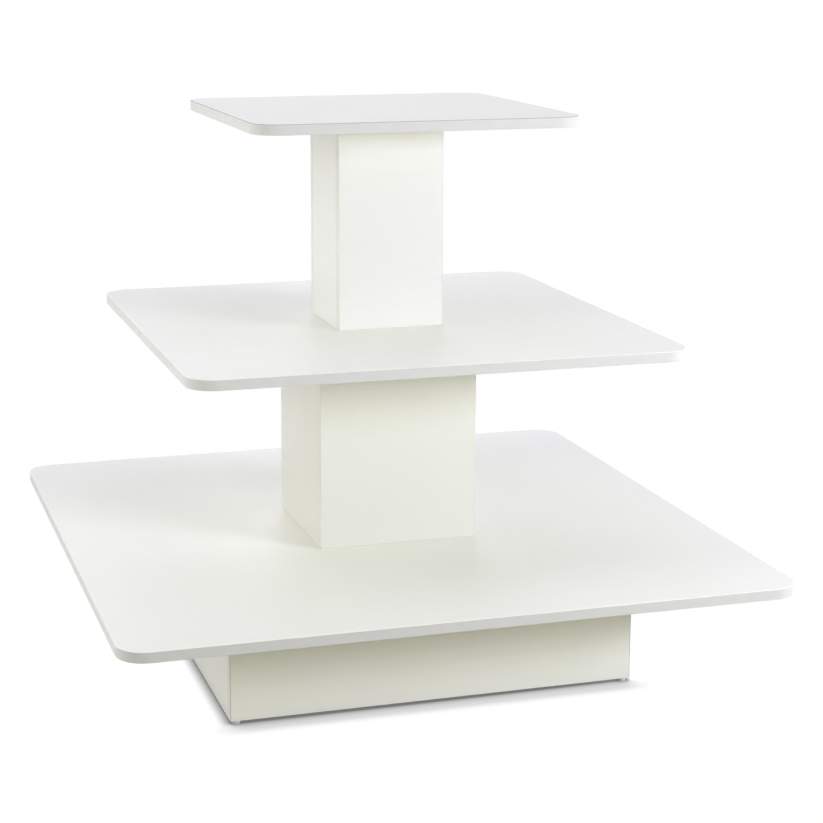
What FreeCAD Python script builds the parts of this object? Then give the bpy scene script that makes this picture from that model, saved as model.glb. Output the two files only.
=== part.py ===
import FreeCAD, Part
import math
import os

os.makedirs("parts", exist_ok=True)

Vector = FreeCAD.Vector
UP = Vector(0, 0, 1)
LEFT = Vector(-1, 0, 0)
RIGHT = Vector(1, 0, 0)
FRONT = Vector(0, -1, 0)
BACK = Vector(0, 1, 0)

# All sizes are in millimetres. The origin is on the floor, under the middle of the table.
# +Z is up, the front looks along -Y and +X is to the right.

# Tiers: square boards with rounded corners and a glued-on edge band all round
tier_thickness = 19.05
bottom_tier_width = 1219.2
middle_tier_width = 914.4
top_tier_width = 609.6
corner_radius = 50.8
tier_band_thickness = 2.0
tier_band_arris = 1.0
band_seam_gap = 0.2

# Box columns and plinth: four upright boards each, the front and back ones overlapping the ends
# of the side ones
panel_thickness = 19.05
upper_column_width = 203.2
lower_column_width = 304.8
column_height = 387.35
plinth_width = 762.0
plinth_height = 209.55
panel_band_thickness = 1.0
panel_band_arris = 0.4

# Stretchers that carry the lower column's side walls across the plinth
stretcher_thickness = 19.05
stretcher_floor_gap = 12.7

# Cleats and corner blocks: square softwood
cleat_size = 25.4
cleat_end_gap = 0.5
corner_block_size = 25.4
corner_block_length = 180.0

# Countersunk wood screws
screw_head_radius = 4.1
screw_head_height = 2.3
screw_shank_radius = 2.1
screw_tip_length = 5.0
screw_sink = 0.3
screw_bite = 12.7            # how far a screw goes into the board beyond a cleat or block
foot_screw_bite = 19.05      # how far a screw through a tier goes into the cleat above it
screw_clearance = 0.1
recess_length = 4.6
recess_width = 0.9
recess_depth = 1.5
cleat_screw_inset = 20.0     # from a cleat's end to its first screw
column_cleat_screws = 3
plinth_side_cleat_screws = 4
corner_screw_spread = 30.0   # each way from the middle of a corner block, into the side panel
corner_screw_stagger = 20.0  # further again, into the front or back panel

# Glued dowels
dowel_radius = 4.0
dowel_length = 32.0
dowel_face_depth = 11.0      # the share of its length in the face of a board
dowel_clearance = 0.05
dowel_end_gap = 0.5
dowel_chamfer = 0.8
column_dowel_inset = 50.0
column_joint_dowels = 3
plinth_dowel_inset = 40.0
plinth_joint_dowels = 2

# Nail-on glides under the plinth's corners
glide_height = 6.35
glide_radius = 8.0
glide_rim_radius = 1.5
glide_end_inset = 12.0       # from the plinth's side to the glide's centre
nail_recess_radius = 3.0
nail_recess_depth = 2.0
nail_head_radius = 2.5
nail_head_height = 0.8
nail_radius = 1.0
nail_bite = 12.7             # how far the nail goes into the board's edge
nail_tip_length = 3.0
nail_clearance = 0.05

# Levels
plinth_base = glide_height
plinth_top = plinth_base + plinth_height
bottom_tier_top = plinth_top + tier_thickness
lower_column_top = bottom_tier_top + column_height
middle_tier_top = lower_column_top + tier_thickness
upper_column_top = middle_tier_top + column_height
top_tier_top = upper_column_top + tier_thickness

nodes = {}    # node name to its solids
bores = []    # the shape of every hole


# ---- shapes ----

def block(low, high):
    size = high - low
    return Part.makeBox(size.x, size.y, size.z, low)


def square_outline(width, radius, level):
    """A closed wire: a square with rounded corners, centred on the Z axis."""
    half = width / 2
    edges = []
    for quarter in range(4):
        turn = quarter * math.pi / 2

        def point(angle, reach):
            centre = half - radius
            x = centre + reach * math.cos(angle)
            y = centre + reach * math.sin(angle)
            return Vector(x * math.cos(turn) - y * math.sin(turn),
                          x * math.sin(turn) + y * math.cos(turn), level)

        start, middle, end = (point(share * math.pi / 4, radius) for share in range(3))
        edges.append(Part.Arc(start, middle, end).toShape())
        next_start = Vector(-start.y, start.x, level)
        edges.append(Part.makeLine(end, next_start))
    return Part.Wire(edges)


def square_slab(width, radius, base, top):
    return Part.Face(square_outline(width, radius, base)).extrude(UP * (top - base))


def lathe(point, axis, profile):
    """Turns a profile of (radius, distance along the axis) about the axis through the point."""
    side = RIGHT if abs(axis.z) > 0.5 else UP
    corners = [point + side * radius + axis * along for radius, along in profile]
    outline = Part.makePolygon(corners + corners[:1])
    return Part.Face(outline).revolve(point, axis, 360)


def slot(point, axis, along, length, width, depth):
    """A straight-sided slot that is open at the point and sinks along the axis."""
    across = axis.cross(along)
    corners = [point + along * (a * length / 2) + across * (b * width / 2)
               for a, b in ((-1, -1), (1, -1), (1, 1), (-1, 1))]
    return Part.Face(Part.makePolygon(corners + corners[:1])).extrude(axis * depth)


def spread(count, reach):
    """Evenly spaced places from -reach to +reach."""
    return [reach * (2 * i / (count - 1) - 1) for i in range(count)]


def midways(places):
    return [(a + b) / 2 for a, b in zip(places, places[1:])]


# ---- fasteners, each with its hole ----

def screw(point, axis, length):
    """A countersunk screw whose head sits just under the surface at the point."""
    neck = screw_sink + screw_head_height
    tip = length - screw_tip_length
    solid = lathe(point, axis, [(0, screw_sink), (screw_head_radius, screw_sink),
                                (screw_shank_radius, neck), (screw_shank_radius, tip), (0, length)])
    along = RIGHT if abs(axis.z) > 0.5 else UP
    top = point + axis * screw_sink
    cross = [slot(top, axis, line, recess_length, recess_width, recess_depth)
             for line in (along, axis.cross(along))]
    hole_neck = screw_shank_radius + screw_clearance
    hole_head = screw_head_radius + screw_clearance
    bores.append(lathe(point, axis, [(0, -1), (hole_head, -1), (hole_head, screw_sink),
                                     (hole_neck, neck), (hole_neck, tip),
                                     (screw_clearance, length + screw_clearance),
                                     (0, length + screw_clearance)]))
    return solid.cut(cross).Solids[0]


def dowel(joint, axis):
    """A dowel across the joint: the axis points from the board's face into the other's end."""
    start = joint - axis * dowel_face_depth
    rim = dowel_radius - dowel_chamfer
    bore_radius = dowel_radius + dowel_clearance
    bores.append(Part.makeCylinder(bore_radius, dowel_length + 2 * dowel_end_gap,
                                   start - axis * dowel_end_gap, axis))
    return lathe(start, axis, [(0, 0), (rim, 0), (dowel_radius, dowel_chamfer),
                               (dowel_radius, dowel_length - dowel_chamfer), (rim, dowel_length),
                               (0, dowel_length)])


def nail(x, y):
    """A nail with its head in the glide's recess and its point in the board above."""
    shoulder = nail_recess_depth
    reach = plinth_base + panel_band_thickness + nail_bite
    hole = nail_radius + nail_clearance
    foot = Vector(x, y, 0)
    bores.append(lathe(foot, UP, [(0, shoulder), (hole, shoulder), (hole, reach + nail_clearance),
                                  (0, reach + nail_clearance)]))
    return lathe(foot, UP, [(0, shoulder - nail_head_height),
                            (nail_head_radius, shoulder - nail_head_height),
                            (nail_head_radius, shoulder), (nail_radius, shoulder),
                            (nail_radius, reach - nail_tip_length), (0, reach)])


# ---- tiers ----

def tier(name, width, top):
    base = top - tier_thickness
    core = square_slab(width - 2 * tier_band_thickness, corner_radius - tier_band_thickness,
                       base, top)
    nodes[name + "_board"] = [core]

    # the band: the outer slab with rounded edges, less the board, less the slit where its ends meet
    outer = square_slab(width, corner_radius, base, top)
    rims = [edge for edge in outer.Edges if edge.BoundBox.ZLength < 1e-6]
    arris = min(tier_band_arris, 0.8 * tier_band_thickness, 0.4 * tier_thickness)
    half = width / 2
    seam = block(Vector(-band_seam_gap / 2, half - 2 * tier_band_thickness, base - 1),
                 Vector(band_seam_gap / 2, half + 1, top + 1))
    nodes[name + "_edge_band"] = [outer.makeFillet(arris, rims).cut([core, seam]).Solids[0]]


# ---- box columns and plinth ----

def banded_strip(low, high, outer_x):
    """An edge band on a board's upright end, with its two outer edges eased."""
    strip = block(low, high)
    outer = [edge for edge in strip.Edges
             if edge.BoundBox.ZLength > 1 and abs(edge.BoundBox.XMin - outer_x) < 1e-6
             and abs(edge.BoundBox.XMax - outer_x) < 1e-6]
    arris = min(panel_band_arris, 0.8 * panel_band_thickness, 0.4 * panel_thickness)
    return strip.makeFillet(arris, outer).Solids[0]


def box_panels(name, band_name, width, base, top, bottom_band):
    """Four upright boards; the front and back ones have a band on each end."""
    half = width / 2
    inner = half - panel_thickness
    core = half - panel_band_thickness
    board_base = base + bottom_band
    for end, near, far in (("front", -half, -inner), ("back", inner, half)):
        nodes[name + "_" + end + "_panel"] = [block(Vector(-core, near, board_base),
                                                    Vector(core, far, top))]
        nodes[name + "_" + end + "_" + band_name] = [
            banded_strip(Vector(-half, near, base), Vector(-core, far, top), -half),
            banded_strip(Vector(core, near, base), Vector(half, far, top), half)]
    for side, near, far in (("left", -half, -inner), ("right", inner, half)):
        nodes[name + "_" + side + "_panel"] = [block(Vector(near, -inner, board_base),
                                                     Vector(far, inner, top))]


def corner_dowels(width, base, top, inset, count):
    """Dowels from the front and back boards into the ends of the side boards."""
    half = width / 2
    inner = half - panel_thickness
    middle = (base + top) / 2
    return [dowel(Vector(side * (half - panel_thickness / 2), end * inner, middle + rise), axis)
            for side in (-1, 1) for end, axis in ((-1, BACK), (1, FRONT))
            for rise in spread(count, (top - base) / 2 - inset)]


def cleat(wall, outward, base, reach):
    """A cleat on the inside of a wall: the wall's inner face is that far from the middle."""
    if outward.x:
        near, far = sorted((outward.x * wall, outward.x * (wall - cleat_size)))
        return block(Vector(near, -reach, base), Vector(far, reach, base + cleat_size))
    near, far = sorted((outward.y * wall, outward.y * (wall - cleat_size)))
    return block(Vector(-reach, near, base), Vector(reach, far, base + cleat_size))


def cleat_fixing(wall, outward, base, reach, count, rising_base, rising_length):
    """The upright screws of a cleat, and the level ones that hold it to its wall."""
    along = BACK if outward.x else RIGHT
    length = cleat_size + screw_bite
    upright_places = spread(count, reach - cleat_screw_inset)
    upright = [screw(outward * (wall - cleat_size / 2) + along * place + UP * rising_base,
                     UP, rising_length) for place in upright_places]
    level = [screw(outward * (wall - cleat_size) + along * place + UP * (base + cleat_size / 2),
                   outward, length) for place in midways(upright_places)]
    return upright, level


def column(name, width, base, top):
    """A box column: boards, dowels, and cleats that screw to the tiers above and below."""
    box_panels(name, "edge_bands", width, base, top, 0)
    nodes[name + "_dowels"] = corner_dowels(width, base, top, column_dowel_inset,
                                            column_joint_dowels)
    wall = width / 2 - panel_thickness
    reach = wall - cleat_end_gap
    top_screws, foot_screws, cleat_screws = [], [], []
    for side, outward in (("left", LEFT), ("right", RIGHT)):
        upper = top - cleat_size
        nodes[name + "_top_" + side + "_cleat"] = [cleat(wall, outward, upper, reach)]
        upright, level = cleat_fixing(wall, outward, upper, reach, column_cleat_screws,
                                      upper, cleat_size + screw_bite)
        top_screws += upright
        cleat_screws += level
        nodes[name + "_foot_" + side + "_cleat"] = [cleat(wall, outward, base, reach)]
        upright, level = cleat_fixing(wall, outward, base, reach, column_cleat_screws,
                                      base - tier_thickness, tier_thickness + foot_screw_bite)
        foot_screws += upright
        cleat_screws += level
    nodes[name + "_top_screws"] = top_screws
    nodes[name + "_foot_screws"] = foot_screws
    nodes[name + "_cleat_screws"] = cleat_screws


def plinth():
    """The open-bottomed base box with two stretchers, cleats and corner blocks inside."""
    half = plinth_width / 2
    wall = half - panel_thickness
    core = half - panel_band_thickness
    board_base = plinth_base + panel_band_thickness
    box_panels("plinth", "end_bands", plinth_width, plinth_base, plinth_top,
               panel_band_thickness)
    nodes["plinth_bottom_edge_bands"] = [
        block(Vector(-core, -half, plinth_base), Vector(core, -wall, board_base)),
        block(Vector(-core, wall, plinth_base), Vector(core, half, board_base)),
        block(Vector(-half, -wall, plinth_base), Vector(-wall, wall, board_base)),
        block(Vector(wall, -wall, plinth_base), Vector(half, wall, board_base))]
    dowels = corner_dowels(plinth_width, plinth_base, plinth_top, plinth_dowel_inset,
                           plinth_joint_dowels)

    # stretchers, front to back under the side walls of the lower column
    stretcher_base = plinth_base + stretcher_floor_gap
    stretcher_x = (lower_column_width - panel_thickness) / 2
    stretcher_middle = (stretcher_base + plinth_top) / 2
    rises = spread(plinth_joint_dowels, (plinth_top - stretcher_base) / 2 - plinth_dowel_inset)
    for side, name in ((-1, "left"), (1, "right")):
        x = side * stretcher_x
        nodes["plinth_" + name + "_stretcher"] = [
            block(Vector(x - stretcher_thickness / 2, -wall, stretcher_base),
                  Vector(x + stretcher_thickness / 2, wall, plinth_top))]
        for end, axis in ((-1, BACK), (1, FRONT)):
            dowels += [dowel(Vector(x, end * wall, stretcher_middle + rise), axis)
                       for rise in rises]
    nodes["plinth_dowels"] = dowels

    # cleats under the bottom tier: between the corner blocks at the sides, and between the
    # stretchers at the front and back
    side_reach = wall - corner_block_size - cleat_end_gap
    bay_reach = stretcher_x - stretcher_thickness / 2 - cleat_end_gap
    cleat_base = plinth_top - cleat_size
    deck_screws, cleat_screws = [], []
    for name, outward, reach, count in (
            ("left", LEFT, side_reach, plinth_side_cleat_screws),
            ("right", RIGHT, side_reach, plinth_side_cleat_screws),
            ("front", FRONT, bay_reach, column_cleat_screws),
            ("back", BACK, bay_reach, column_cleat_screws)):
        nodes["plinth_" + name + "_cleat"] = [cleat(wall, outward, cleat_base, reach)]
        upright, level = cleat_fixing(wall, outward, cleat_base, reach, count, cleat_base,
                                      cleat_size + screw_bite)
        deck_screws += upright
        cleat_screws += level
    nodes["plinth_deck_screws"] = deck_screws
    nodes["plinth_cleat_screws"] = cleat_screws

    # corner blocks, screwed both ways
    block_base = plinth_top - corner_block_length
    block_middle = plinth_top - corner_block_length / 2
    centre = wall - corner_block_size / 2
    length = corner_block_size + screw_bite
    corner_screws = []
    for side, side_name, outward_x in ((-1, "left", LEFT), (1, "right", RIGHT)):
        for end, end_name, outward_y in ((-1, "front", FRONT), (1, "back", BACK)):
            x, y = side * centre, end * centre
            size = Vector(corner_block_size / 2, corner_block_size / 2, 0)
            nodes["plinth_" + end_name + "_" + side_name + "_corner_block"] = [
                block(Vector(x, y, block_base) - size, Vector(x, y, plinth_top) + size)]
            for sign in (-1, 1):
                level = block_middle + sign * corner_screw_spread
                corner_screws.append(screw(
                    Vector(x, y, level) - outward_x * (corner_block_size / 2),
                    outward_x, length))
                level += sign * corner_screw_stagger
                corner_screws.append(screw(
                    Vector(x, y, level) - outward_y * (corner_block_size / 2),
                    outward_y, length))
    nodes["plinth_corner_block_screws"] = corner_screws


def glides():
    """Round plastic feet, each nailed up into the bottom edge of the front or back board."""
    x = plinth_width / 2 - glide_end_inset
    y = (plinth_width - panel_thickness) / 2
    hole = nail_radius + nail_clearance
    pads, nails = [], []
    for side in (-1, 1):
        for end in (-1, 1):
            foot = Vector(side * x, end * y, 0)
            pad = lathe(foot, UP, [(nail_recess_radius, 0), (glide_radius, 0),
                                   (glide_radius, glide_height), (hole, glide_height),
                                   (hole, nail_recess_depth),
                                   (nail_recess_radius, nail_recess_depth)])
            rim = [edge for edge in pad.Edges
                   if edge.BoundBox.ZMax < 1e-6 and edge.BoundBox.XLength > 1.9 * glide_radius]
            pads.append(pad.makeFillet(min(glide_rim_radius, 0.4 * glide_height), rim).Solids[0])
            nails.append(nail(foot.x, foot.y))
    nodes["glide_pads"] = pads
    nodes["glide_nails"] = nails


tier("bottom_tier", bottom_tier_width, bottom_tier_top)
tier("middle_tier", middle_tier_width, middle_tier_top)
tier("top_tier", top_tier_width, top_tier_top)
plinth()
column("lower_column", lower_column_width, bottom_tier_top, lower_column_top)
column("upper_column", upper_column_width, middle_tier_top, upper_column_top)
glides()


# ---- holes and files ----

fastener_words = ("screws", "dowels", "nails", "pads")


def drilled(solid):
    near = [bore for bore in bores if solid.BoundBox.intersect(bore.BoundBox)]
    return solid.cut(near).Solids[0] if near else solid


for name, solids in nodes.items():
    if not name.endswith(fastener_words):
        solids = [drilled(solid) for solid in solids]
    shape = solids[0] if len(solids) == 1 else Part.makeCompound(solids)
    shape.exportStep("parts/" + name + ".step")
    print(f"{name}: {len(solids)} solid(s), {sum(s.Volume for s in solids) / 1000:.1f} cm3,"
          f" valid {all(s.isValid() for s in solids)}")
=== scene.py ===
import math

import bmesh
import bpy
from mathutils import Euler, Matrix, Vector


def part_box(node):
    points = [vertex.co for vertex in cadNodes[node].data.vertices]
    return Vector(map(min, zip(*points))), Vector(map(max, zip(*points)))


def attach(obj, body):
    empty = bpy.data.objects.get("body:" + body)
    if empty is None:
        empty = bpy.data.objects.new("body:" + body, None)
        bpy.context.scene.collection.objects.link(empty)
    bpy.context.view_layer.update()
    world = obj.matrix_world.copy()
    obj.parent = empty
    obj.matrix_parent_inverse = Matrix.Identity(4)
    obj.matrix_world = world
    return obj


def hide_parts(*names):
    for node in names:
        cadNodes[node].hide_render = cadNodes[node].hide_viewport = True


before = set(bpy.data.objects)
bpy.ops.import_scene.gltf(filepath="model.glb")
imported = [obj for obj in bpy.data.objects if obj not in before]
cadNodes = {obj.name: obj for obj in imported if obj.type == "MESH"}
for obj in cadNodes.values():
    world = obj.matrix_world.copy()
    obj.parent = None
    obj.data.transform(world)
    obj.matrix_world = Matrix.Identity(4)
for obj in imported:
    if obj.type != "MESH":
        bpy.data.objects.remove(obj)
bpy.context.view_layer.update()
scene = bpy.context.scene
scene.view_settings.view_transform = "Standard"
mm = 0.001
print("frame loaded:", len(cadNodes), "nodes")

cameraView = {
    "lens": 87.22, "sensor": 36.0,               # mm
    "turn": -16.460, "tilt": 11.262,             # degrees, from straight ahead
    "place": (-1.0843, -3.6305, 1.3575),         # m
    "shift": (0.0504, -0.0899),                  # of the picture's longer side
}


def makeCamera(view):
    lens = bpy.data.cameras.new("camera")
    lens.lens, lens.sensor_width = view["lens"], view["sensor"]
    lens.shift_x, lens.shift_y = view["shift"]
    camera = bpy.data.objects.new("camera", lens)
    camera.location = view["place"]
    camera.rotation_euler = (math.radians(90 - view["tilt"]), 0, math.radians(view["turn"]))
    scene.collection.objects.link(camera)
    scene.camera = camera


makeCamera(cameraView)
print("camera placed")


def addNode(tree, kind, inputs=None, **settings):
    node = tree.nodes.new(kind)
    for key, value in settings.items():
        setattr(node, key, value)
    for key, value in (inputs or {}).items():
        if isinstance(value, bpy.types.NodeSocket):
            tree.links.new(value, node.inputs[key])
        else:
            node.inputs[key].default_value = value
    return node


def maths(tree, operation, *values, **settings):
    inputs = dict(enumerate(values))
    return addNode(tree, "ShaderNodeMath", inputs, operation=operation, **settings).outputs[0]


def newMaterial(name, colour, roughness):
    material = bpy.data.materials.new(name)
    material.use_nodes = True
    material.diffuse_color = (*colour, 1)
    shader = material.node_tree.nodes["Principled BSDF"]
    shader.inputs["Base Color"].default_value = (*colour, 1)
    shader.inputs["Roughness"].default_value = roughness
    return material, material.node_tree, shader


def objectSpace(tree, scale=(1, 1, 1), turn=(0, 0, 0), shift=(0, 0, 0)):
    place = addNode(tree, "ShaderNodeTexCoord").outputs["Object"]
    mapping = addNode(tree, "ShaderNodeMapping", {"Vector": place, "Scale": scale, "Location": shift,
                                                 "Rotation": [math.radians(a) for a in turn]})
    return mapping.outputs["Vector"]


fineDetail = 3.0                                 # octaves of the noises that are seen closest


def noise(tree, place, scale, detail=2.0):
    texture = addNode(tree, "ShaderNodeTexNoise", {"Vector": place, "Scale": scale, "Detail": detail})
    return texture.outputs["Fac"]


def remap(tree, value, source, target):
    return addNode(tree, "ShaderNodeMapRange", {"Value": value, "From Min": source[0], "From Max": source[1],
                                               "To Min": target[0], "To Max": target[1]}).outputs["Result"]


def blendColours(tree, share, first, second):
    # sockets 6 and 7 of the Mix node are its two colours
    ends = [end if isinstance(end, bpy.types.NodeSocket) else (*end, 1) for end in (first, second)]
    return addNode(tree, "ShaderNodeMix", {0: share, 6: ends[0], 7: ends[1]}, data_type="RGBA").outputs[2]


def addBump(tree, shader, height, strength, depth):
    bump = addNode(tree, "ShaderNodeBump", {"Height": height, "Strength": strength, "Distance": depth})
    tree.links.new(bump.outputs["Normal"], shader.inputs["Normal"])


noiseSpan = (0.3, 0.7)                           # where nearly all of a noise's values lie

melamineLook = {
    "colour": (0.845, 0.845, 0.762), "roughness": (0.29, 0.39), "glossPerMetre": 60.0,
    # faint print streaks along the grain, and a slow drift of their strength across the sheet
    "streakColour": (0.800, 0.795, 0.700), "streakShare": 0.30, "streakSpan": (0.45, 0.75),
    "streakLength": 0.16, "streakWidth": 0.004,  # m
    "driftPerMetre": 3.5, "driftSpan": (0.35, 0.65), "driftShare": (0.6, 1.4),
    "peelSize": 0.0011, "peelStrength": 0.05, "peelDepth": 0.0002,
    # painted light: the upper column's boards are paler and bluer as if better lit, and the lower column's
    # darker and creamier as shade
    "tones": {"melamine": (1.0, 1.0, 1.0), "whiterMelamine": (1.01, 1.01, 1.045),
              "creamMelamine": (0.95, 0.95, 0.94)},
}


def makeMelamine(name, look, tone, grainAxis):
    base, streak = ([value * share for value, share in zip(look[key], tone)]
                    for key in ("colour", "streakColour"))
    material, tree, shader = newMaterial(name, base, sum(look["roughness"]) / 2)
    scale = [1 / look["streakWidth"]] * 3
    scale[grainAxis] = 1 / look["streakLength"]
    streaks = noise(tree, objectSpace(tree, scale), 1.0, fineDetail)
    drift = noise(tree, objectSpace(tree), look["driftPerMetre"])
    share = maths(tree, "MULTIPLY", remap(tree, streaks, look["streakSpan"], (0, look["streakShare"])),
                  remap(tree, drift, look["driftSpan"], look["driftShare"]))
    tree.links.new(blendColours(tree, share, base, streak), shader.inputs["Base Color"])
    gloss = noise(tree, objectSpace(tree), look["glossPerMetre"], fineDetail)
    tree.links.new(remap(tree, gloss, noiseSpan, look["roughness"]), shader.inputs["Roughness"])
    peel = noise(tree, objectSpace(tree), 1 / look["peelSize"])
    addBump(tree, shader, peel, look["peelStrength"], look["peelDepth"])
    return material


bandLook = {
    "roughness": (0.30, 0.42), "cloudSize": 0.022,
    # fine lines along the extruded strip, with a matt print that flecks it
    "linesPerMetre": (8, 8, 900), "lineStrength": 0.06, "lineDepth": 0.0002,
    "fleckTone": (0.94, 0.94, 0.93), "fleckSpan": (0.15, 0.4), "fleckShare": 0.6,
}
bandColours = {
    "lowTierBand": (0.660, 0.662, 0.618),        # grey strip round the bottom tier, painted darker as shade
    "upperTierBand": (0.725, 0.727, 0.682),      # the same strip round the two upper tiers, painted lighter as if better lit
    "trimmedArris": (0.900, 0.895, 0.830),       # its upper corner, painted pale as a highlight
    "jointLine": (0.400, 0.400, 0.390),          # the same corner of the top tier, painted dark as a reflection
    "panelBand": (0.812, 0.810, 0.728),          # strips on the uprights of the columns and the plinth
    "panelBandSide": (0.880, 0.878, 0.810),      # their cut side on the columns' corners, painted paler as a highlight
    "glueLine": (0.400, 0.385, 0.300),           # their cut side on the plinth's corners, painted dark as shade
    "footBand": (0.960, 0.960, 0.930),           # strips along the plinth's lower edge, painted near-white as a highlight
}


def makeBand(name, colour, look):
    material, tree, shader = newMaterial(name, colour, sum(look["roughness"]) / 2)
    lines = noise(tree, objectSpace(tree, look["linesPerMetre"]), 1.0)
    cloud = noise(tree, objectSpace(tree), 1 / look["cloudSize"], fineDetail)
    fleckColour = [value * tone for value, tone in zip(colour, look["fleckTone"])]
    flecks = remap(tree, maths(tree, "MULTIPLY", lines, cloud), look["fleckSpan"], (0, look["fleckShare"]))
    tree.links.new(blendColours(tree, flecks, colour, fleckColour), shader.inputs["Base Color"])
    tree.links.new(remap(tree, cloud, noiseSpan, look["roughness"]), shader.inputs["Roughness"])
    addBump(tree, shader, lines, look["lineStrength"], look["lineDepth"])
    return material


chipboardLook = {
    "dark": (0.27, 0.17, 0.085), "middle": (0.43, 0.285, 0.155), "pale": (0.57, 0.41, 0.24),
    "roughness": 0.85,
    "chipSize": 0.0022, "chipFlatness": 1.8, "chipSpan": (0.1, 0.9),
    "dustPerMetre": 700.0, "dustSpan": (0.52, 0.62), "dustShare": 0.6,
    "chipStrength": 0.7, "chipDepth": 0.0004,
}


def makeChipboard(look):
    material, tree, shader = newMaterial("chipboard", look["middle"], look["roughness"])
    place = objectSpace(tree, (1, 1, look["chipFlatness"]))
    chips = addNode(tree, "ShaderNodeTexVoronoi", {"Vector": place, "Scale": 1 / look["chipSize"]})
    dust = noise(tree, place, look["dustPerMetre"], fineDetail)
    tone = addNode(tree, "ShaderNodeSeparateColor", {"Color": chips.outputs["Color"]}).outputs[0]
    colour = blendColours(tree, remap(tree, tone, look["chipSpan"], (0, 1)), look["middle"], look["pale"])
    darker = remap(tree, dust, look["dustSpan"], (0, look["dustShare"]))
    tree.links.new(blendColours(tree, darker, colour, look["dark"]), shader.inputs["Base Color"])
    height = maths(tree, "ADD", chips.outputs["Distance"], dust)
    addBump(tree, shader, height, look["chipStrength"], look["chipDepth"])
    return material


waveSpacing = math.pi / 10                       # m, between the wave texture's rings at scale 1
pineLook = {
    "early": (0.74, 0.55, 0.33), "late": (0.56, 0.34, 0.16), "lateSpan": (0.35, 1.0), "lateShare": 0.8,
    "pith": (0.031, 0.022, 0.0),                 # m, the heart of the log beside the stick
    "ringSpacing": 0.00825, "ringLength": 0.08, "waver": 1.6, "waverScale": 9.0,
    "fibreColour": (0.84, 0.68, 0.46), "fibrePerMetre": 1400.0, "fibreLength": 0.02,
    "fibreSpan": (0.35, 0.65), "fibreShare": 0.25, "fibreStrength": 0.25, "fibreDepth": 0.0003,
    "roughness": (0.66, 0.50),                   # early wood, late wood
}


def makePine(name, look, turn):
    material, tree, shader = newMaterial(name, look["early"], sum(look["roughness"]) / 2)
    # growth rings about the pith line, drawn out along the grain
    place = objectSpace(tree, turn=turn, shift=look["pith"])
    along = addNode(tree, "ShaderNodeMapping", {"Vector": place, "Scale": (1, 1, look["ringLength"])})
    wavesPerMetre = waveSpacing / look["ringSpacing"]
    wave = addNode(tree, "ShaderNodeTexWave", {
        "Vector": along.outputs["Vector"], "Scale": wavesPerMetre, "Distortion": look["waver"],
        "Detail Scale": look["waverScale"]}, wave_type="RINGS", rings_direction="Z", wave_profile="SAW")
    rings = wave.outputs["Fac"]
    fine = addNode(tree, "ShaderNodeMapping", {"Vector": place, "Scale": (1, 1, look["fibreLength"])})
    fibre = noise(tree, fine.outputs["Vector"], look["fibrePerMetre"])
    late = remap(tree, rings, look["lateSpan"], (0, look["lateShare"]))
    colour = blendColours(tree, late, look["early"], look["late"])
    threads = remap(tree, fibre, look["fibreSpan"], (0, look["fibreShare"]))
    tree.links.new(blendColours(tree, threads, colour, look["fibreColour"]), shader.inputs["Base Color"])
    tree.links.new(remap(tree, rings, (0, 1), look["roughness"]), shader.inputs["Roughness"])
    addBump(tree, shader, fibre, look["fibreStrength"], look["fibreDepth"])
    return material


beechLook = {
    "colour": (0.70, 0.49, 0.31), "roughness": 0.55,
    "fleckColour": (0.47, 0.29, 0.16), "flecksPerMetre": 900.0, "fleckSpan": (0.55, 0.70), "fleckShare": 0.7,
    "paleColour": (0.80, 0.62, 0.43), "cloudsPerMetre": 24.0, "paleShare": 0.35,
    "fleckStrength": 0.2, "fleckDepth": 0.0002,
}


def makeBeech(look):
    material, tree, shader = newMaterial("beech", look["colour"], look["roughness"])
    flecks = noise(tree, objectSpace(tree), look["flecksPerMetre"], fineDetail)
    clouds = noise(tree, objectSpace(tree), look["cloudsPerMetre"])
    share = remap(tree, flecks, look["fleckSpan"], (0, look["fleckShare"]))
    colour = blendColours(tree, share, look["colour"], look["fleckColour"])
    paler = remap(tree, clouds, noiseSpan, (0, look["paleShare"]))
    tree.links.new(blendColours(tree, paler, colour, look["paleColour"]), shader.inputs["Base Color"])
    addBump(tree, shader, flecks, look["fleckStrength"], look["fleckDepth"])
    return material


zincLook = {
    "colour": (0.70, 0.71, 0.73), "roughness": (0.24, 0.42),
    "dullColour": (0.55, 0.55, 0.56), "cloudsPerMetre": 420.0, "cloudSpan": (0.35, 0.70),
    "pitsPerMetre": 2600.0, "pitStrength": 0.12, "pitDepth": 0.0001,
}


def makeZinc(look):
    material, tree, shader = newMaterial("zincPlatedSteel", look["colour"], sum(look["roughness"]) / 2)
    shader.inputs["Metallic"].default_value = 1.0
    clouds = noise(tree, objectSpace(tree), look["cloudsPerMetre"], fineDetail)
    dull = remap(tree, clouds, look["cloudSpan"], (0, 1))
    tree.links.new(blendColours(tree, dull, look["colour"], look["dullColour"]), shader.inputs["Base Color"])
    tree.links.new(remap(tree, clouds, noiseSpan, look["roughness"]), shader.inputs["Roughness"])
    pits = noise(tree, objectSpace(tree), look["pitsPerMetre"])
    addBump(tree, shader, pits, look["pitStrength"], look["pitDepth"])
    return material


plasticLook = {
    "colour": (0.62, 0.61, 0.58), "roughness": (0.36, 0.56),
    "scuffColour": (0.48, 0.46, 0.42), "scuffsPerMetre": 500.0, "scuffSpan": (0.55, 0.70), "scuffShare": 0.5,
    "scuffStrength": 0.1, "scuffDepth": 0.0002,
}


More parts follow.
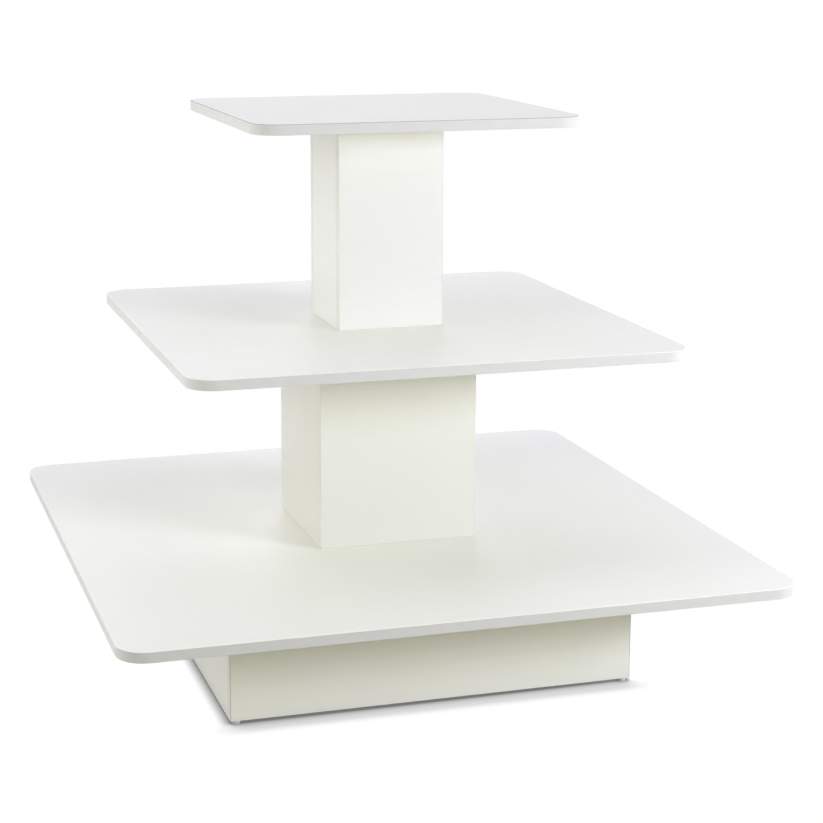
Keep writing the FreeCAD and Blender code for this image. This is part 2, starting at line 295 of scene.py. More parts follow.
def makePlastic(look):
    material, tree, shader = newMaterial("glidePlastic", look["colour"], sum(look["roughness"]) / 2)
    scuffs = noise(tree, objectSpace(tree), look["scuffsPerMetre"], fineDetail)
    share = remap(tree, scuffs, look["scuffSpan"], (0, look["scuffShare"]))
    colour = blendColours(tree, share, look["colour"], look["scuffColour"])
    tree.links.new(colour, shader.inputs["Base Color"])
    tree.links.new(remap(tree, scuffs, noiseSpan, look["roughness"]), shader.inputs["Roughness"])
    addBump(tree, shader, scuffs, look["scuffStrength"], look["scuffDepth"])
    return material


grainTurns = {"X": (0, 90, 0), "Y": (90, 0, 0), "Z": (0, 0, 0)}     # degrees, from the log's axis along Z
finishes = {
    **{name + axis: makeMelamine(name + axis, melamineLook, tone, "XYZ".index(axis))
       for name, tone in melamineLook["tones"].items() for axis in "XY"},
    **{name: makeBand(name, colour, bandLook) for name, colour in bandColours.items()},
    "chipboard": makeChipboard(chipboardLook),
    **{"pine" + axis: makePine("pineAlong" + axis, pineLook, turn) for axis, turn in grainTurns.items()},
    "beech": makeBeech(beechLook),
    "zinc": makeZinc(zincLook),
    "plastic": makePlastic(plasticLook),
}
print("finishes made:", len(finishes))

weld = 0.001 * mm                                # corners of the frame this close are one
nearby = 0.01 * mm                               # and so are new corners this close
easeLook = {"sharpAngle": 35, "easedAngle": 40, "flatAngle": 1, "segments": 2}     # angles in degrees


def newPiece(name, mesh):
    piece = bpy.data.objects.new(name, mesh)
    scene.collection.objects.link(piece)
    return piece


def pieceName(node):
    first, *rest = node.split("_")
    return first + "".join(word.capitalize() for word in rest)


def fit(piece, slotName, *nodeNames):
    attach(piece, "root")
    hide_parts(*nodeNames)


def mergedNode(node):
    shape = bmesh.new()
    shape.from_mesh(cadNodes[node].data)
    bmesh.ops.remove_doubles(shape, verts=shape.verts, dist=weld)
    return shape


def looseParts(shape):
    seen, parts = set(), []
    for first in shape.verts:
        if first in seen:
            continue
        seen.add(first)
        part = [first]
        for vert in part:                        # the list grows as neighbours join it
            for edge in vert.link_edges:
                other = edge.other_vert(vert)
                if other not in seen:
                    seen.add(other)
                    part.append(other)
        parts.append([vert.co.copy() for vert in part])
    return parts


def newTree(name, inputs):
    tree = bpy.data.node_groups.new(name, "GeometryNodeTree")
    tree.interface.new_socket("Geometry", in_out="INPUT", socket_type="NodeSocketGeometry")
    for label, kind in inputs:
        tree.interface.new_socket(label, in_out="INPUT", socket_type="NodeSocket" + kind)
    tree.interface.new_socket("Geometry", in_out="OUTPUT", socket_type="NodeSocketGeometry")
    return tree, tree.nodes.new("NodeGroupInput").outputs


def endTree(tree, geometry):
    tree.links.new(geometry, tree.nodes.new("NodeGroupOutput").inputs[0])
    return tree


def setFinish(tree, geometry, finish, selection=True):
    return addNode(tree, "GeometryNodeSetMaterial", {
        "Geometry": geometry, "Selection": selection, "Material": finish}).outputs[0]


def plainMesh(piece):
    graph = bpy.context.evaluated_depsgraph_get()
    mesh = bpy.data.meshes.new_from_object(piece.evaluated_get(graph), depsgraph=graph)
    piece.modifiers.clear()
    piece.data = mesh
    mesh.name = piece.name
    return piece


def runTree(piece, tree, values):
    modifier = piece.modifiers.new(tree.name, "NODES")
    modifier.node_group = tree
    sockets = {item.name: item.identifier for item in tree.interface.items_tree if item.in_out == "INPUT"}
    for label, value in values.items():
        modifier[sockets[label]] = value
    return plainMesh(piece)


def outward(piece):
    shape = bmesh.new()
    shape.from_mesh(piece.data)
    bmesh.ops.recalc_face_normals(shape, faces=shape.faces)
    shape.to_mesh(piece.data)
    shape.free()


def smooth(piece):
    piece.data.shade_smooth()
    piece.data.set_sharp_from_angle(angle=math.radians(easeLook["sharpAngle"]))


def ease(piece, width, marked=False):
    bevel = piece.modifiers.new("arris", "BEVEL")
    bevel.width, bevel.segments = width, easeLook["segments"]
    bevel.limit_method = "WEIGHT" if marked else "ANGLE"
    bevel.angle_limit = math.radians(easeLook["easedAngle"])
    bevel.use_clamp_overlap = False
    bevel.harden_normals = True
    smooth(piece)


# a fastener is a pattern piece, set at each place that the frame's solids give

def lathe(shape, profile, steps, closed=False, flutes=0, fluteDepth=0.0):
    rings = []
    for radius, level in profile:
        ring = []
        for i in range(steps if radius else 1):
            angle = 2 * math.pi * i / steps
            reach = radius * (1 - fluteDepth * max(0.0, math.cos(flutes * angle)))
            ring.append(shape.verts.new((reach * math.cos(angle), reach * math.sin(angle), level)))
        rings.append(ring)
    loop = rings + rings[:1] if closed else rings
    for upper, lower in zip(loop, loop[1:]):
        for i in range(steps):
            j = (i + 1) % steps
            corners = [ring[k % len(ring)] for ring, k in ((upper, i), (upper, j), (lower, j), (lower, i))]
            shape.faces.new(list(dict.fromkeys(corners)))       # a ring of one corner is a point
    return rings


def arc(centre, radius, start, end, steps):
    angles = [math.radians(start + (end - start) * i / steps) for i in range(steps + 1)]
    return [(centre[0] + radius * math.cos(a), centre[1] + radius * math.sin(a)) for a in angles]


def patternFrom(shape, name):
    bmesh.ops.recalc_face_normals(shape, faces=shape.faces)
    mesh = bpy.data.meshes.new(name)
    shape.to_mesh(mesh)
    shape.free()
    return newPiece(name, mesh)


endSlice = 0.4 * mm                              # corners this near an end belong to it
leastFlare = 0.05 * mm                           # a head is wider than the point by more than this


def fastenerPlaces(node, axis=None):
    # where each solid of the node starts, which way it points, its length and its head's radius
    shape = mergedNode(node)
    found = []
    for corners in looseParts(shape):
        low = Vector([min(c[i] for c in corners) for i in range(3)])
        high = Vector([max(c[i] for c in corners) for i in range(3)])
        middle, size = (low + high) / 2, high - low
        along = max(range(3), key=lambda i: size[i]) if axis is None else axis
        others = [i for i in range(3) if i != along]
        width = [max(math.hypot(*(c[i] - middle[i] for i in others)) for c in corners
                     if abs(c[along] - end[along]) < endSlice) for end in (low, high)]
        fromTop = width[1] > width[0] + leastFlare
        start, direction = middle.copy(), Vector((0, 0, 0))
        start[along] = high[along] if fromTop else low[along]
        direction[along] = -1 if fromTop else 1
        found.append({"start": start, "direction": direction, "length": size[along], "radius": max(width)})
    shape.free()
    return found


def makeFastenerTree():
    tree, given = newTree("fastenerSet", [("Fastener", "Object"), ("Finish", "Material"), ("Seed", "Int")])
    direction = addNode(tree, "GeometryNodeInputNamedAttribute", {"Name": "direction"},
                        data_type="FLOAT_VECTOR").outputs["Attribute"]
    aim = addNode(tree, "FunctionNodeAlignRotationToVector", {"Vector": direction}, axis="Z").outputs[0]
    # each one is turned by chance about its own axis: sockets 2, 3 and 8 are the range and the seed
    turn = addNode(tree, "FunctionNodeRandomValue", {2: 0.0, 3: 2 * math.pi, 8: given["Seed"]},
                   data_type="FLOAT").outputs[1]
    spin = addNode(tree, "FunctionNodeAxisAngleToRotation", {"Axis": (0, 0, 1), "Angle": turn}).outputs[0]
    both = addNode(tree, "FunctionNodeRotateRotation", {"Rotation": aim, "Rotate By": spin},
                   rotation_space="LOCAL")
    pattern = addNode(tree, "GeometryNodeObjectInfo", {"Object": given["Fastener"]})
    placed = addNode(tree, "GeometryNodeInstanceOnPoints", {
        "Points": given["Geometry"], "Instance": pattern.outputs["Geometry"], "Rotation": both.outputs[0]})
    solid = addNode(tree, "GeometryNodeRealizeInstances", {"Geometry": placed.outputs[0]})
    return endTree(tree, setFinish(tree, solid.outputs[0], given["Finish"]))


fastenerTree = makeFastenerTree()


def setFasteners(name, spots, pattern, finish, seed):
    mesh = bpy.data.meshes.new(name)
    mesh.from_pydata([spot["start"] for spot in spots], [], [])
    attribute = mesh.attributes.new("direction", "FLOAT_VECTOR", "POINT")
    for value, spot in zip(attribute.data, spots):
        value.vector = spot["direction"]
    piece = runTree(newPiece(name, mesh), fastenerTree, {"Fastener": pattern, "Finish": finish, "Seed": seed})
    if "direction" in piece.data.attributes:
        piece.data.attributes.remove(piece.data.attributes["direction"])
    smooth(piece)
    return piece


screwNodes = sorted(node for node in cadNodes if node.endswith("_screws"))
dowelNodes = sorted(node for node in cadNodes if node.endswith("_dowels"))
places = {node: fastenerPlaces(node) for node in screwNodes + dowelNodes + ["glide_nails"]}
places["glide_pads"] = fastenerPlaces("glide_pads", axis=2)
# the turns by chance start from these, and each further node of a kind takes the next one
seeds = {"screws": 11, "dowels": 31, "pads": 41, "nails": 42, "holes": 0}


def setNodes(nodes, pattern, finish, slotName, seed):
    for nodeSeed, node in enumerate(nodes, start=seed):
        piece = setFasteners(pieceName(node), places[node], pattern, finishes[finish], nodeSeed)
        fit(piece, slotName, node)
    bpy.data.objects.remove(pattern)


screwLook = {
    "rim": 0.22 * mm, "headHeight": 2.3 * mm, "shankRadius": 2.1 * mm, "rootRadius": 1.5 * mm,
    "plainShank": 10.0 * mm, "shoulder": (0.8 * mm, 0.1 * mm),      # where it narrows, above the thread
    "pitch": 1.8 * mm, "rootShare": 0.35, "crestShare": 0.7,        # of a turn, to root's end and crest
    "firstRise": 0.2, "tipLength": 5.0 * mm, "bareTip": 0.6 * mm, "leastTaper": 0.14, "steps": 20,
    "recessLength": 4.4 * mm, "recessWidth": 0.85 * mm, "recessDepth": 1.5 * mm, "recessTaper": 0.45,
    "recessLead": 0.3 * mm,
}


def makeThread(shape, look, length, neck):
    # the thread winds down as one strip of root, rising flank and crest
    steps, root, crest, pitch = look["steps"], look["rootRadius"], look["shankRadius"], look["pitch"]
    turns = int((length - look["bareTip"] - look["plainShank"]) / pitch) - 1
    rows = []
    for k in range(turns * steps + 1):
        angle = 2 * math.pi * k / steps
        row = []
        for share, radius in ((0, root), (look["rootShare"], root), (look["crestShare"], crest)):
            level = look["plainShank"] + pitch * (k / steps + share)
            taper = min(1.0, max(look["leastTaper"], (length - level) / look["tipLength"]))
            reach = radius * taper if k else root + (radius - root) * look["firstRise"]
            row.append(shape.verts.new((reach * math.cos(angle), reach * math.sin(angle), level)))
        rows.append(row)
    last = len(rows) - 1
    tip = shape.verts.new((0, 0, length))
    for k in range(last):
        for m in (0, 1):
            shape.faces.new((rows[k][m], rows[k][m + 1], rows[k + 1][m + 1], rows[k + 1][m]))
        if k + steps < last:
            shape.faces.new((rows[k][2], rows[k + steps][0], rows[k + 1 + steps][0], rows[k + 1][2]))
        else:
            shape.faces.new((rows[k][2], tip, rows[k + 1][2]))
    # the strip's start is closed against the neck, and its end against the tip
    for i in range(steps - 1):
        shape.faces.new((neck[i], neck[i + 1], rows[i + 1][0], rows[i][0]))
    shape.faces.new((neck[-1], neck[0], rows[0][0], rows[0][1], rows[steps][0], rows[steps - 1][0]))
    shape.faces.new((rows[0][1], rows[0][2], rows[steps][0]))
    shape.faces.new((tip, rows[last - steps][2], *rows[last]))


def makeRecessCutter(look):
    # a cross that tapers as it sinks into the head
    cutter = bmesh.new()
    arm, side = look["recessLength"] / 2, look["recessWidth"] / 2
    cross = []
    for quarter in range(4):
        for x, y in ((arm, -side), (arm, side), (side, side)):
            corner = Vector((x, y, 0))
            corner.rotate(Euler((0, 0, quarter * math.pi / 2)))
            cross.append(corner)
    levels = [(-look["recessLead"], 1.0), (look["recessDepth"], look["recessTaper"])]
    loops = [[cutter.verts.new((p.x * scale, p.y * scale, level)) for p in cross] for level, scale in levels]
    for loop in loops:
        cutter.faces.new(loop)
    for i in range(len(cross)):
        j = (i + 1) % len(cross)
        cutter.faces.new((loops[0][i], loops[0][j], loops[1][j], loops[1][i]))
    return patternFrom(cutter, "recessPattern")


def makeScrewPattern(look, length, headRadius):
    shape = bmesh.new()
    shank, threadStart = look["shankRadius"], look["plainShank"]
    wide, narrow = (threadStart - distance for distance in look["shoulder"])
    rings = lathe(shape, [(0, 0), (headRadius, 0), (headRadius, look["rim"]), (shank, look["headHeight"]),
                          (shank, wide), (look["rootRadius"], narrow)], look["steps"])
    makeThread(shape, look, length, rings[-1])
    screw = patternFrom(shape, "screwPattern")
    recess = makeRecessCutter(look)
    cut = screw.modifiers.new("recess", "BOOLEAN")
    cut.object, cut.solver = recess, "EXACT"
    plainMesh(screw)
    bpy.data.objects.remove(recess)
    return screw


def makeScrews(look):
    sample = places[screwNodes[0]][0]
    pattern = makeScrewPattern(look, sample["length"], sample["radius"])
    setNodes(screwNodes, pattern, "zinc", "steel", seeds["screws"])


dowelLook = {"steps": 60, "flutes": 12, "fluteDepth": 0.09, "chamfer": 0.8 * mm}


def makeDowels(look):
    sample = places[dowelNodes[0]][0]
    length, chamfer = sample["length"], look["chamfer"]
    radius = sample["radius"] + chamfer          # the places give the chamfered ends' radius
    shape = bmesh.new()
    lathe(shape, [(0, 0), (radius - chamfer, 0), (radius, chamfer), (radius, length / 2),
                  (radius, length - chamfer), (radius - chamfer, length), (0, length)],
          look["steps"], flutes=look["flutes"], fluteDepth=look["fluteDepth"])
    setNodes(dowelNodes, patternFrom(shape, "dowelPattern"), "beech", "dowel", seeds["dowels"])


padLook = {
    "steps": 48, "rimRadius": 1.5 * mm, "rimSteps": 6, "arris": 0.3 * mm, "arrisSteps": 3,
    "recessRadius": 3.0 * mm, "recessDepth": 2.0 * mm, "nailHole": 1.05 * mm,
}
nailLook = {
    "steps": 24, "headHeight": 0.8 * mm, "crown": 0.15 * mm, "crownShares": (0, 0.6, 1),
    "radius": 1.0 * mm, "tip": 3.0 * mm,
    "rings": 6, "firstRing": 2.64 * mm, "ringStep": 1.32 * mm, "ringRise": 0.1 * mm, "ringDepth": 0.12 * mm,
}


def makeGlidePads(look):
    low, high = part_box("glide_pads")
    height = high.z - low.z
    radius = high.x - max(place["start"].x for place in places["glide_pads"])
    rim, arris, hole = look["rimRadius"], look["arris"], look["nailHole"]
    recess, depth = look["recessRadius"], look["recessDepth"]
    profile = [(recess, depth), (recess, arris), (recess + arris, 0)]
    profile += arc((radius - rim, rim), rim, -90, 0, look["rimSteps"])
    profile += arc((radius - arris, height - arris), arris, 0, 90, look["arrisSteps"])
    profile += [(hole, height), (hole, depth)]
    shape = bmesh.new()
    lathe(shape, profile, look["steps"], closed=True)
    setNodes(["glide_pads"], patternFrom(shape, "padPattern"), "plastic", "glide", seeds["pads"])


def makeGlideNails(look):
    sample = places["glide_nails"][0]
    length, head, shank = sample["length"], look["headHeight"], look["radius"]
    profile = [(sample["radius"] * share, look["crown"] * share ** 2) for share in look["crownShares"]]
    profile += [(sample["radius"], head), (shank, head)]
    for i in range(look["rings"]):
        level = head + look["firstRing"] + i * look["ringStep"]
        profile += [(shank, level), (shank - look["ringDepth"], level + look["ringRise"])]
    profile += [(shank, length - look["tip"]), (0, length)]
    shape = bmesh.new()
    lathe(shape, profile, look["steps"])
    setNodes(["glide_nails"], patternFrom(shape, "nailPattern"), "zinc", "steel", seeds["nails"])


makeScrews(screwLook)
makeDowels(dowelLook)
makeGlidePads(padLook)
makeGlideNails(nailLook)
print("fasteners set:", sum(len(group) for group in places.values()))

tierLook = {
    "cornerRadius": 50.8 * mm, "cornerSteps": 18, "boardArris": 0.25 * mm,
    "bandArris": 0.9 * mm, "arrisSteps": 4, "seam": 0.2 * mm,
    "bands": {                                   # the strip's finish, painted darker as shade on the bottom tier, and its upper arris's painted reflection
        "bottom_tier": ("lowTierBand", "trimmedArris"),
        "middle_tier": ("upperTierBand", "trimmedArris"),
        "top_tier": ("upperTierBand", "jointLine"),
    },
}
tierScrews = {
    "bottom_tier": ["plinth_deck_screws", "lower_column_foot_screws"],
    "middle_tier": ["lower_column_top_screws", "upper_column_foot_screws"],
    "top_tier": ["upper_column_top_screws"],
}
holeLook = {"clearance": 0.1 * mm, "above": 1.3 * mm, "steps": 24}
facing = 0.9                                     # a face looks along an axis if its normal does by this much


def makeHolePattern(look, length, headRadius):
    shape = bmesh.new()
    room = look["clearance"]
    head, shank, bottom = headRadius + room, screwLook["shankRadius"] + room, length + room
    lathe(shape, [(0, -look["above"]), (head, -look["above"]), (head, 0), (shank, screwLook["headHeight"]),
                  (shank, length - screwLook["tipLength"]), (room, bottom), (0, bottom)], look["steps"])
    return patternFrom(shape, "holePattern")


def makeBoardTree():
    # a rounded square sheet, raised to its thickness and drilled
    tree, given = newTree("roundedBoard", [
        ("Width", "Float"), ("Corner Radius", "Float"), ("Corner Steps", "Int"),
        ("Base", "Float"), ("Thickness", "Float"), ("Holes", "Object"),
        ("Face Finish", "Material"), ("Edge Finish", "Material")])
    square = addNode(tree, "GeometryNodeCurvePrimitiveQuadrilateral", {
        "Width": given["Width"], "Height": given["Width"]})
    outline = addNode(tree, "GeometryNodeFilletCurve", {
        "Curve": square.outputs[0], "Count": given["Corner Steps"], "Radius": given["Corner Radius"]},
        mode="POLY")
    sheet = addNode(tree, "GeometryNodeFillCurve", {"Curve": outline.outputs[0]}, mode="NGONS")
    risen = addNode(tree, "GeometryNodeExtrudeMesh", {
        "Mesh": sheet.outputs[0], "Offset": (0, 0, 1), "Offset Scale": given["Thickness"],
        "Individual": False}, mode="FACES")
    under = addNode(tree, "GeometryNodeFlipFaces", {"Mesh": sheet.outputs[0]})
    joined = addNode(tree, "GeometryNodeJoinGeometry")
    for part in (risen, under):
        tree.links.new(part.outputs["Mesh"], joined.inputs[0])
    closed = addNode(tree, "GeometryNodeMergeByDistance", {
        "Geometry": joined.outputs[0], "Distance": nearby})
    base = addNode(tree, "ShaderNodeCombineXYZ", {"Z": given["Base"]})
    placed = addNode(tree, "GeometryNodeTransform", {
        "Geometry": closed.outputs[0], "Translation": base.outputs[0]})
    holes = addNode(tree, "GeometryNodeObjectInfo", {"Object": given["Holes"]})
    drilled = addNode(tree, "GeometryNodeMeshBoolean", {0: placed.outputs[0]},
                      operation="DIFFERENCE", solver="EXACT")
    tree.links.new(holes.outputs["Geometry"], drilled.inputs[1])
    solid = addNode(tree, "GeometryNodeRealizeInstances", {"Geometry": drilled.outputs["Mesh"]})
    normal = addNode(tree, "GeometryNodeInputNormal")
    upright = addNode(tree, "ShaderNodeSeparateXYZ", {0: normal.outputs[0]}).outputs["Z"]
    isFace = maths(tree, "GREATER_THAN", maths(tree, "ABSOLUTE", upright), facing)
    edges = setFinish(tree, solid.outputs[0], given["Edge Finish"])
    return endTree(tree, setFinish(tree, edges, given["Face Finish"], isFace))


def makeBandTree():
    # a flat strip swept along the path, with its two outer arrises rounded
    tree, given = newTree("edgeBand", [
        ("Corner Radius", "Float"), ("Corner Steps", "Int"), ("Thickness", "Float"), ("Height", "Float"),
        ("Arris", "Float"), ("Arris Steps", "Int"), ("Middle", "Float"),
        ("Finish", "Material"), ("Arris Finish", "Material")])
    path = addNode(tree, "GeometryNodeMeshToCurve", {"Mesh": given["Geometry"]})
    bent = addNode(tree, "GeometryNodeFilletCurve", {
        "Curve": path.outputs[0], "Count": given["Corner Steps"], "Radius": given["Corner Radius"]},
        mode="POLY")
    upright = addNode(tree, "GeometryNodeSetCurveNormal", {"Curve": bent.outputs[0]}, mode="Z_UP")
    strip = addNode(tree, "GeometryNodeCurvePrimitiveQuadrilateral", {
        "Width": given["Thickness"], "Height": given["Height"]})
    place = addNode(tree, "GeometryNodeInputPosition")
    spot = addNode(tree, "ShaderNodeSeparateXYZ", {0: place.outputs[0]})
    isOuter = maths(tree, "LESS_THAN", spot.outputs["X"], 0.0)
    profile = addNode(tree, "GeometryNodeFilletCurve", {
        "Curve": strip.outputs[0], "Count": given["Arris Steps"],
        "Radius": maths(tree, "MULTIPLY", isOuter, given["Arris"])}, mode="POLY")
    swept = addNode(tree, "GeometryNodeCurveToMesh", {
        "Curve": upright.outputs[0], "Profile Curve": profile.outputs[0], "Fill Caps": True})
    merged = addNode(tree, "GeometryNodeMergeByDistance", {
        "Geometry": swept.outputs[0], "Distance": nearby})
    solid = addNode(tree, "GeometryNodeRealizeInstances", {"Geometry": merged.outputs[0]})
    strips = setFinish(tree, solid.outputs[0], given["Finish"])
    # the upper arris, which takes the painted reflection, is where the faces lean, above the middle
    normal = addNode(tree, "GeometryNodeInputNormal")
    lean = addNode(tree, "ShaderNodeSeparateXYZ", {0: normal.outputs[0]}).outputs["Z"]
    isWall = maths(tree, "COMPARE", lean, 0.0, 1 - facing)
    isAbove = maths(tree, "GREATER_THAN", spot.outputs["Z"], given["Middle"])
    upper = maths(tree, "SUBTRACT", isAbove, isWall, use_clamp=True)
    return endTree(tree, setFinish(tree, strips, given["Arris Finish"], upper))


def makeTierBoard(tier, look, trees, holePattern):
    low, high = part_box(tier + "_board")
    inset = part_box(tier + "_edge_band")[1].x - high.x          # the band's thickness
    holes = [place for node in tierScrews[tier] for place in places[node]]
    cutters = setFasteners(tier + "Holes", holes, holePattern, None, seeds["holes"])
    board = runTree(newPiece(pieceName(tier + "_board"), bpy.data.meshes.new("board")), trees["board"], {
        "Width": 2 * high.x, "Base": low.z, "Thickness": high.z - low.z, "Holes": cutters,
        "Corner Radius": look["cornerRadius"] - inset, "Corner Steps": look["cornerSteps"],
        "Face Finish": finishes["melamineX"], "Edge Finish": finishes["chipboard"]})
    bpy.data.objects.remove(cutters)
    outward(board)
    ease(board, look["boardArris"])
    fit(board, "board", tier + "_board")


def makeTierBand(tier, look, trees):
    low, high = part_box(tier + "_edge_band")
    thickness = high.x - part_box(tier + "_board")[1].x
    # the path runs along the strip's middle, and starts and ends at the seam in the middle of the back
    reach, middle, gap = high.x - thickness / 2, (low.z + high.z) / 2, look["seam"] / 2
    corners = [(gap, reach), (reach, reach), (reach, -reach),
               (-reach, -reach), (-reach, reach), (-gap, reach)]
    path = bpy.data.meshes.new("path")
    path.from_pydata([(x, y, middle) for x, y in corners], [(i, i + 1) for i in range(len(corners) - 1)], [])
    # the strip is painted darker as shade on the bottom tier; its upper arris is painted pale as a highlight
    # on the lower two tiers, and dark as a reflection on the top one
    finish, arrisReflection = (finishes[name] for name in look["bands"][tier])
    band = runTree(newPiece(pieceName(tier + "_edge_band"), path), trees["band"], {
        "Corner Radius": look["cornerRadius"] - thickness / 2, "Corner Steps": look["cornerSteps"],
        "Thickness": thickness, "Height": high.z - low.z, "Middle": middle,
        "Arris": look["bandArris"], "Arris Steps": look["arrisSteps"],
        "Finish": finish, "Arris Finish": arrisReflection})
    outward(band)
    smooth(band)
    band.modifiers.new("evenShading", "WEIGHTED_NORMAL").keep_sharp = True
    fit(band, "edge_band", tier + "_edge_band")


def makeTiers(look, holes):
    trees = {"board": makeBoardTree(), "band": makeBandTree()}
    sample = places[screwNodes[0]][0]
    holePattern = makeHolePattern(holes, sample["length"], sample["radius"])
    for tier in tierScrews:
        makeTierBoard(tier, look, trees, holePattern)
        makeTierBand(tier, look, trees)
    bpy.data.objects.remove(holePattern)


makeTiers(tierLook, holeLook)
print("tiers made")

sawnLook = {
    "boardArris": 0.35 * mm, "bandArris": 0.3 * mm, "softwoodArris": 0.9 * mm,
    # the columns take the painted lit and shaded copies of the melamine
    "melamine": {"upper_column": "whiterMelamine", "lower_column": "creamMelamine", "plinth": "melamine"},
}


def markArrises(shape, low, high):
    # the corners of the sawn block are eased, and the rims of its holes are left sharp
    def sides(vert):
        return {(i, end) for i in range(3) for end, face in enumerate((low, high))
                if abs(vert.co[i] - face[i]) < nearby}
    weight = shape.edges.layers.float.new("bevel_weight_edge")
    for edge in shape.edges:
        first, second = edge.verts
        edge[weight] = 1.0 if len(sides(first) & sides(second)) == 2 else 0.0


def sawnPiece(node, slotName, faceFinish, edgeFinish, arris):
    shape = mergedNode(node)
    flat = math.radians(easeLook["flatAngle"])
    bmesh.ops.dissolve_limit(shape, angle_limit=flat, verts=shape.verts, edges=shape.edges)
    low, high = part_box(node)
    oneBlock = not node.endswith("_bands")
    if oneBlock:
        markArrises(shape, low, high)
    thin = min(range(3), key=lambda i: (high - low)[i]) if oneBlock else 0      # the strips lie across X
    for face in shape.faces:
        face.material_index = 0 if abs(face.normal[thin]) > facing else 1
    mesh = bpy.data.meshes.new(pieceName(node))
    shape.to_mesh(mesh)
    shape.free()
    mesh.materials.append(finishes[faceFinish])
    mesh.materials.append(finishes[edgeFinish])
    piece = newPiece(pieceName(node), mesh)
    ease(piece, arris, marked=oneBlock)
    fit(piece, slotName, node)


def makeSawnPieces(look):
    for node in sorted(cadNodes):
        low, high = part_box(node)
        size = high - low
        if node.endswith(("_panel", "_stretcher")):
            melamine = next(name for box, name in look["melamine"].items() if node.startswith(box))
            grain = "X" if size.x > size.y else "Y"
            sawnPiece(node, "board", melamine + grain, "chipboard", look["boardArris"])
        elif node == "plinth_bottom_edge_bands":
            # the plinth's foot strips are painted near-white as a highlight
            sawnPiece(node, "edge_band", "footBand", "footBand", look["bandArris"])
        elif node.endswith("_bands"):
            # the cut sides are painted dark as shade on the plinth, and paler as a highlight on the columns
            side = "glueLine" if node.startswith("plinth") else "panelBandSide"
            sawnPiece(node, "edge_band", "panelBand", side, look["bandArris"])
        elif node.endswith(("_cleat", "_block")):
            pine = "pine" + "XYZ"[max(range(3), key=lambda i: size[i])]
            sawnPiece(node, "softwood", pine, pine, look["softwoodArris"])


makeSawnPieces(sawnLook)
print("sawn pieces made")

floorLook = {
    "halfWidth": 9.0, "colour": (0.55, 0.54, 0.43), "roughness": 0.8,
    # m, how far the contact shadow reaches: furthest in front and behind, and least at the right
    "reach": {"front": 0.055, "left": 0.022, "right": 0.010}, "reachChange": 0.03,
    "contactSamples": 16, "contactPower": 1.66, "darkest": 0.18,       # the power says how fast it fades
}
roomLook = {"colour": (0.90, 0.94, 1.0), "strength": 0.02}
lamps = {
    # place, height of its aim on the table's middle line, width and height, power in watts, tint
    "keyRight": ((2.4, -2.4, 1.4), 0.6, (1.0, 0.5), 59, (0.96, 1, 1.20)),
    "frontRight": ((1.9, -2.9, 1.1), 0.6, (0.8, 0.5), 25.4, (1.02, 1, 0.98)),
    "fillLeft": ((-2.3, -2.6, 1.2), 0.6, (1.2, 0.6), 12.2, (1.04, 1, 0.97)),
    "left": ((-3.0, -0.4, 1.3), 0.6, (1.6, 1.6), 30, (1, 1, 1.07)),
    "overLeft": ((-2.6, -0.2, 2.7), 0.5, (1.6, 1.6), 26, (0.98, 1, 1.02)),
    "overhead": ((0.3, -0.4, 3.4), 0.4, (2.6, 2.6), 24, (1.03, 1, 1.20)),
    "overRight": ((1.8, -1.6, 2.6), 0.5, (1.8, 1.8), 12, (1.01, 1, 0.98)),
    "right": ((2.8, 0.6, 2.2), 0.5, (1.6, 1.6), 8, (1, 1, 1.05)),
    "back": ((0.6, 3.5, 1.7), 0.6, (1.8, 1.8), 67, (1, 1, 1.28)),
    "backLeft": ((-1.8, 3.0, 2.2), 0.6, (1.6, 1.6), 23, (1, 1, 1.10)),
}


def showWhite(tree, lit, white, output):
    # the camera, mirrors and glass see the white, and the lamps' light falls on the rest
    path = addNode(tree, "ShaderNodeLightPath").outputs
    seen = path["Is Camera Ray"]
    for kind in ("Is Glossy Ray", "Is Transmission Ray"):
        seen = maths(tree, "MAXIMUM", seen, path[kind])
    mix = addNode(tree, "ShaderNodeMixShader", {0: seen, 1: lit.outputs[0], 2: white.outputs[0]})
    tree.links.new(mix.outputs[0], tree.nodes[output].inputs["Surface"])


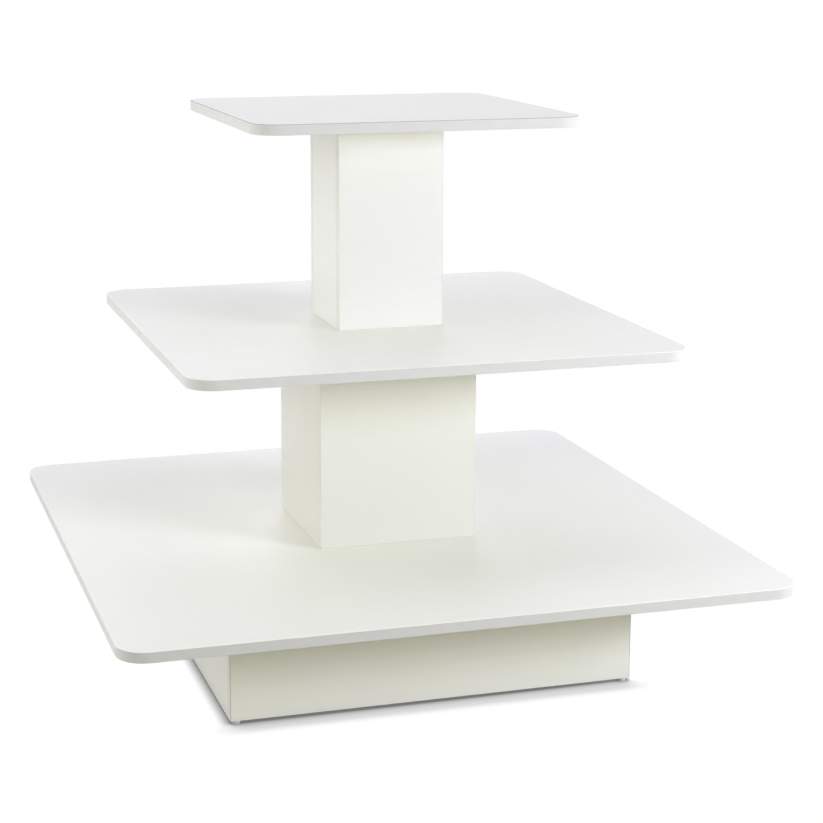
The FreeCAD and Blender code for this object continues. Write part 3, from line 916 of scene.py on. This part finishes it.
def contactShade(tree, look):
    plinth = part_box("plinth_front_panel")[1].x
    reach, change = look["reach"], look["reachChange"]
    place = addNode(tree, "ShaderNodeSeparateXYZ", {0: objectSpace(tree)}).outputs
    beside = remap(tree, place["X"], (-plinth, plinth), (reach["left"], reach["right"]))
    isInFront = remap(tree, maths(tree, "ABSOLUTE", place["Y"]), (plinth, plinth + change), (0, 1))
    # sockets 2 and 3 of the Mix node are its two numbers
    distance = addNode(tree, "ShaderNodeMix", {0: isInFront, 2: beside, 3: reach["front"]}, data_type="FLOAT")
    exposure = addNode(tree, "ShaderNodeAmbientOcclusion", {"Distance": distance.outputs[0]},
                       samples=look["contactSamples"])
    contact = maths(tree, "POWER", exposure.outputs["AO"], look["contactPower"])
    return maths(tree, "MAXIMUM", contact, look["darkest"])


def makeFloor(look):
    mesh = bpy.data.meshes.new("floor")
    half = look["halfWidth"]
    corners = [(-half, -half, 0), (half, -half, 0), (half, half, 0), (-half, half, 0)]
    mesh.from_pydata(corners, [], [(0, 1, 2, 3)])
    floor = newPiece("floor", mesh)
    material, tree, shader = newMaterial("paleFloor", look["colour"], look["roughness"])
    white = addNode(tree, "ShaderNodeEmission", {"Strength": contactShade(tree, look)})
    showWhite(tree, shader, white, "Material Output")
    mesh.materials.append(material)


def makeRoom(look):
    world = bpy.data.worlds.new("studio")
    world.use_nodes = True
    scene.world = world
    tree = world.node_tree
    room = tree.nodes["Background"]
    room.inputs["Color"].default_value = (*look["colour"], 1)
    room.inputs["Strength"].default_value = look["strength"]
    white = addNode(tree, "ShaderNodeBackground", {"Color": (1, 1, 1, 1), "Strength": 1.0})
    showWhite(tree, room, white, "World Output")


def makeLamps(lampSet):
    for name, (place, aim, size, power, tint) in lampSet.items():
        light = bpy.data.lights.new(name, "AREA")
        light.shape = "RECTANGLE"
        light.size, light.size_y = size
        light.energy, light.color = power, tint
        holder = bpy.data.objects.new(name, light)
        holder.location = place
        toward = Vector((0, 0, aim)) - Vector(place)
        holder.rotation_euler = toward.to_track_quat("-Z", "Y").to_euler()
        holder.visible_camera = False
        holder.visible_glossy = False            # its image would glare on the tier tops
        scene.collection.objects.link(holder)


makeFloor(floorLook)
makeRoom(roomLook)
makeLamps(lamps)
print("studio lit:", len(lamps), "lamps")
